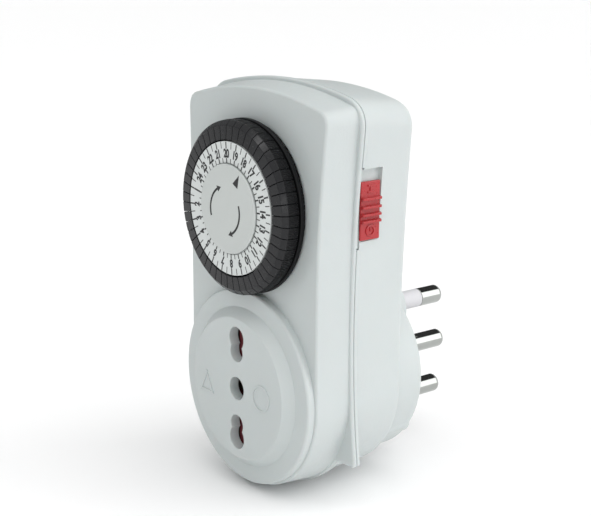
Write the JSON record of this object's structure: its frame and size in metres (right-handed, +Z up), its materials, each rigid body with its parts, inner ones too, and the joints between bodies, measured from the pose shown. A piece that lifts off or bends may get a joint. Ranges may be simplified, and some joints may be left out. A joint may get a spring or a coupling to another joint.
{
  "type": "programmable timer",
  "caption": "Plug-in mechanical timer: two-part casing with front outlet, rear plug, a tappet dial driven by a small motor and gear train, and a side override slider.",
  "frame": {"origin": "the earth pin's axis on the plug face, where the nose of the plug meets the wall outlet", "axes": "+Y along the pins into the wall, +Z up towards the dial end, +X to the right as seen from the front; the front of the timer faces -Y"},
  "size_m": [0.0584, 0.0733, 0.103],
  "materials": {
    "casing_plastic": "light grey-white moulded plastic, fine satin texture",
    "dial_black": "satin black moulded plastic",
    "number_white": "white plastic with printed black numbers",
    "disc_grey": "pale grey plastic with printed arrows",
    "red_plastic": "red moulded plastic, slight gloss",
    "shutter_plastic": "dark red moulded plastic",
    "sleeve_white": "white insulating sleeve",
    "pin_nickel": "bright nickel plate",
    "steel": "zinc-plated steel",
    "brass": "stamped brass",
    "insulator": "tan moulded insulator",
    "acetal": "natural acetal",
    "coil_copper": "enamelled copper winding",
    "ferrite": "dark grey ferrite magnet"
  },
  "bodies": {
    "casing": {"front_casing": "casing_plastic", "rear_casing": "casing_plastic", "casing_screw_top_left": "steel", "casing_screw_top_right": "steel", "casing_screw_bottom_left": "steel", "casing_screw_bottom_right": "steel", "earth_pin": "pin_nickel", "live_pin": "pin_nickel", "neutral_pin": "pin_nickel", "live_pin_sleeve": "sleeve_white", "neutral_pin_sleeve": "sleeve_white", "shutter_spring": "steel", "contact_carrier": "insulator", "live_contact": "brass", "neutral_contact": "brass", "earth_contact": "brass", "earth_bar": "brass", "neutral_bar": "brass", "live_inlet_bar": "brass", "live_outlet_bar": "brass", "gear_plate": "steel", "dial_spindle": "steel", "dial_clip": "steel", "reduction_axle": "steel", "motor_can": "steel", "motor_cover": "steel", "motor_coil": "coil_copper", "microswitch_body": "insulator", "lever_pivot_pin": "steel", "contact_blade": "brass", "centre_disc": "disc_grey"},
    "dial": {"dial_carrier": "dial_black", "dial_gear": "acetal", "number_ring": "number_white", "tappet_bank": "dial_black"},
    "tappet_01": {"tappet_01": "dial_black"},
    "tappet_02": {"tappet_02": "dial_black"},
    "tappet_03": {"tappet_03": "dial_black"},
    "tappet_04": {"tappet_04": "dial_black"},
    "tappet_05": {"tappet_05": "dial_black"},
    "tappet_06": {"tappet_06": "dial_black"},
    "tappet_07": {"tappet_07": "dial_black"},
    "tappet_08": {"tappet_08": "dial_black"},
    "tappet_09": {"tappet_09": "dial_black"},
    "tappet_10": {"tappet_10": "dial_black"},
    "tappet_11": {"tappet_11": "dial_black"},
    "tappet_12": {"tappet_12": "dial_black"},
    "reduction_gear": {"reduction_gear": "acetal"},
    "motor_rotor": {"motor_rotor": "ferrite"},
    "switch_lever": {"switch_lever": "acetal"},
    "switch_plunger": {"switch_plunger": "red_plastic"},
    "override_slider": {"override_slider": "red_plastic"},
    "outlet_shutter": {"outlet_shutter": "shutter_plastic"}
  },
  "joints": [
    {"name": "dial_turn", "type": "hinge", "parent": "casing", "child": "dial", "pos_m": [0, -0.0475, 0.04583], "axis": [0, 1, 0], "continuous": true},
    {"name": "reduction_gear_turn", "type": "hinge", "parent": "casing", "child": "reduction_gear", "pos_m": [-0.00953, -0.038, 0.03115], "axis": [0, 1, 0], "continuous": true},
    {"name": "motor_rotor_turn", "type": "hinge", "parent": "casing", "child": "motor_rotor", "pos_m": [-0.00401, -0.03, 0.04248], "axis": [0, 1, 0], "continuous": true},
    {"name": "tappet_01_lift", "type": "slide", "parent": "dial", "child": "tappet_01", "axis": [0, -1, 0], "range_m": [0, 0.0018]},
    {"name": "tappet_02_lift", "type": "slide", "parent": "dial", "child": "tappet_02", "axis": [0, -1, 0], "range_m": [0, 0.0018]},
    {"name": "tappet_03_lift", "type": "slide", "parent": "dial", "child": "tappet_03", "axis": [0, -1, 0], "range_m": [0, 0.0018]},
    {"name": "tappet_04_lift", "type": "slide", "parent": "dial", "child": "tappet_04", "axis": [0, -1, 0], "range_m": [0, 0.0018]},
    {"name": "tappet_05_lift", "type": "slide", "parent": "dial", "child": "tappet_05", "axis": [0, -1, 0], "range_m": [0, 0.0018]},
    {"name": "tappet_06_lift", "type": "slide", "parent": "dial", "child": "tappet_06", "axis": [0, -1, 0], "range_m": [0, 0.0018]},
    {"name": "tappet_07_lift", "type": "slide", "parent": "dial", "child": "tappet_07", "axis": [0, -1, 0], "range_m": [0, 0.0018]},
    {"name": "tappet_08_lift", "type": "slide", "parent": "dial", "child": "tappet_08", "axis": [0, -1, 0], "range_m": [0, 0.0018]},
    {"name": "tappet_09_lift", "type": "slide", "parent": "dial", "child": "tappet_09", "axis": [0, -1, 0], "range_m": [0, 0.0018]},
    {"name": "tappet_10_lift", "type": "slide", "parent": "dial", "child": "tappet_10", "axis": [0, -1, 0], "range_m": [0, 0.0018]},
    {"name": "tappet_11_lift", "type": "slide", "parent": "dial", "child": "tappet_11", "axis": [0, -1, 0], "range_m": [0, 0.0018]},
    {"name": "tappet_12_lift", "type": "slide", "parent": "dial", "child": "tappet_12", "axis": [0, -1, 0], "range_m": [0, 0.0018]},
    {"name": "override_slide", "type": "slide", "parent": "casing", "child": "override_slider", "axis": [0, 0, 1], "range_m": [0, 0.0028]},
    {"name": "shutter_slide", "type": "slide", "parent": "casing", "child": "outlet_shutter", "axis": [1, 0, 0], "range_m": [0, 0.006], "stiffness_N_per_m": 120, "springref_m": -0.002, "deforming": ["shutter_spring"]},
    {"name": "switch_lever_press", "type": "hinge", "parent": "casing", "child": "switch_lever", "pos_m": [0.0183, -0.0396, 0.0286], "axis": [1, 0, 0], "range_deg": [-3, 0], "stiffness_Nm_per_rad": 0.02, "springref_deg": 2.86},
    {"name": "switch_plunger_press", "type": "slide", "parent": "casing", "child": "switch_plunger", "axis": [0, 1, 0], "range_m": [0, 0.0005]}
  ],
  "couplings": [
    {"joint": "reduction_gear_turn", "follows": "dial_turn", "ratio": -4.8},
    {"joint": "motor_rotor_turn", "follows": "dial_turn", "ratio": 19.2},
    {"joint": "switch_plunger_press", "follows": "switch_lever_press", "m_per_rad": -0.0094}
  ]
}
